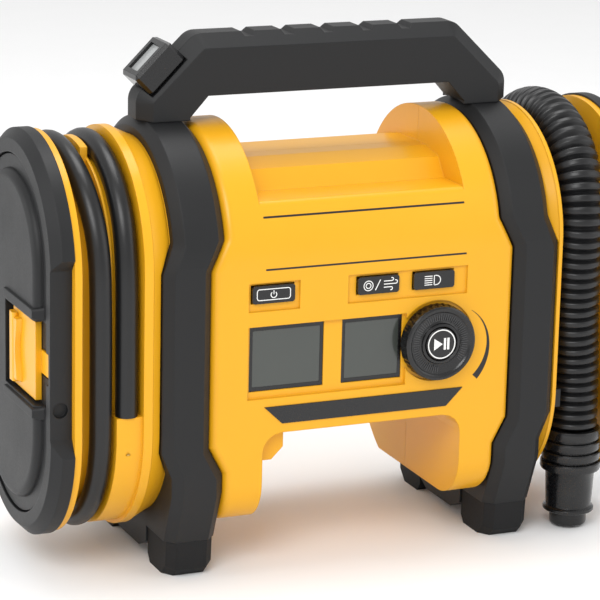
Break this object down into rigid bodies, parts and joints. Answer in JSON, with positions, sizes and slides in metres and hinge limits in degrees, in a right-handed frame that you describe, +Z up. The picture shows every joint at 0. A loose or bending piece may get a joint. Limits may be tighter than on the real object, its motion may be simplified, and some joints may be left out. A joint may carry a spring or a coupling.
{
  "type": "cordless dual-mode inflator",
  "caption": "Portable battery-powered inflator: twin-hoop body with carrying handle, control panel, coiled tyre hose, ribbed air-bed hose and a battery bay underneath.",
  "frame": {"origin": "on the floor, midway between the four feet", "axes": "+X to the right along the length as the control panel is faced, -Y out of the control panel, +Z up"},
  "size_m": [0.3147, 0.1294, 0.253],
  "materials": {
    "yellow": "satin moulded warm yellow",
    "black": "fine-grained charcoal moulding",
    "rubber": "dull black rubber",
    "hose": "semi-gloss black hose",
    "gloss": "semi-gloss black",
    "lcd": "grey-green display glass",
    "lens": "clear lens",
    "steel": "turned and stamped steel",
    "alloy": "die-cast alloy",
    "brass": "brass",
    "white": "natural nylon",
    "board": "green circuit board"
  },
  "bodies": {
    "housing": {"front_housing": "yellow", "rear_housing": "yellow", "housing_screws": "steel", "left_hoop": "black", "right_hoop": "black", "front_left_foot": "rubber", "back_left_foot": "rubber", "front_right_foot": "rubber", "back_right_foot": "rubber", "left_spool": "yellow", "right_spool": "yellow", "door_ring": "black", "hinge_pin": "steel", "intake_cover": "black", "cover_screws": "steel", "intake_grille": "black", "handle": "black", "worklight_housing": "gloss", "worklight_lens": "lens", "worklight_board": "board", "left_display": "lcd", "right_display": "lcd", "knob_encoder": "alloy", "label_strip": "gloss", "control_board": "board", "battery_rails": "yellow", "terminal_block": "black", "terminal_blades": "brass", "compressor_motor": "steel", "cylinder": "alloy", "cylinder_head": "alloy", "compressor_frame": "alloy", "blower_motor": "steel", "blower_scroll": "black", "pressure_hose": "hose", "hose_outlet": "brass", "hose_chuck": "gloss", "chuck_pin": "steel", "blower_hose": "hose", "duct_elbow": "black", "nozzle": "gloss", "hose_clip": "black"},
    "accessory_door_body": {"accessory_door": "black"},
    "door_latch_body": {"door_latch": "yellow"},
    "chuck_lever_body": {"chuck_lever": "alloy"},
    "power_button_body": {"power_button": "gloss"},
    "mode_button_body": {"mode_button": "gloss"},
    "light_button_body": {"light_button": "gloss"},
    "start_button_body": {"start_button": "gloss"},
    "pressure_knob_body": {"pressure_knob": "gloss"},
    "crank_gear_body": {"crank_gear": "white"},
    "motor_pinion_body": {"motor_pinion": "steel"},
    "connecting_rod_body": {"connecting_rod": "alloy"},
    "piston_body": {"piston": "alloy"},
    "blower_impeller_body": {"blower_impeller": "white"}
  },
  "joints": [
    {"name": "door_hinge", "type": "hinge", "parent": "housing", "child": "accessory_door_body", "pos_m": [-0.1566, 0.052, 0.113], "axis": [0, 0, -1], "range_deg": [0, 110]},
    {"name": "latch_slide", "type": "slide", "parent": "accessory_door_body", "child": "door_latch_body", "axis": [0, 1, 0], "range_m": [0, 0.005], "stiffness_N_per_m": 300},
    {"name": "lever_hinge", "type": "hinge", "parent": "housing", "child": "chuck_lever_body", "pos_m": [-0.1344, 0.0607, 0.104], "axis": [-1, 0, 0], "range_deg": [0, 80]},
    {"name": "power_press", "type": "slide", "parent": "housing", "child": "power_button_body", "axis": [0, 1, 0], "range_m": [0, 0.0012], "stiffness_N_per_m": 500},
    {"name": "mode_press", "type": "slide", "parent": "housing", "child": "mode_button_body", "axis": [0, 1, 0], "range_m": [0, 0.0012], "stiffness_N_per_m": 500},
    {"name": "light_press", "type": "slide", "parent": "housing", "child": "light_button_body", "axis": [0, 1, 0], "range_m": [0, 0.0012], "stiffness_N_per_m": 500},
    {"name": "start_press", "type": "slide", "parent": "housing", "child": "start_button_body", "axis": [0, 1, 0], "range_m": [0, 0.0012], "stiffness_N_per_m": 500},
    {"name": "knob_turn", "type": "hinge", "parent": "housing", "child": "pressure_knob_body", "pos_m": [0.0372, -0.06, 0.1079], "axis": [0, 1, 0], "continuous": true},
    {"name": "gear_turn", "type": "hinge", "parent": "housing", "child": "crank_gear_body", "pos_m": [-0.041, 0, 0.123], "axis": [1, 0, 0], "continuous": true},
    {"name": "pinion_turn", "type": "hinge", "parent": "housing", "child": "motor_pinion_body", "pos_m": [-0.041, 0, 0.093], "axis": [1, 0, 0], "continuous": true},
    {"name": "rod_turn", "type": "hinge", "parent": "crank_gear_body", "child": "connecting_rod_body", "pos_m": [-0.05, 0, 0.128], "axis": [1, 0, 0], "continuous": true},
    {"name": "piston_stroke", "type": "slide", "parent": "housing", "child": "piston_body", "axis": [0, 0, 1], "range_m": [-0.01, 0]},
    {"name": "fan_turn", "type": "hinge", "parent": "housing", "child": "blower_impeller_body", "pos_m": [0.078, 0, 0.113], "axis": [1, 0, 0], "continuous": true}
  ],
  "couplings": [
    {"joint": "pinion_turn", "follows": "gear_turn", "ratio": -4},
    {"joint": "rod_turn", "follows": "gear_turn", "ratio": -1}
  ]
}
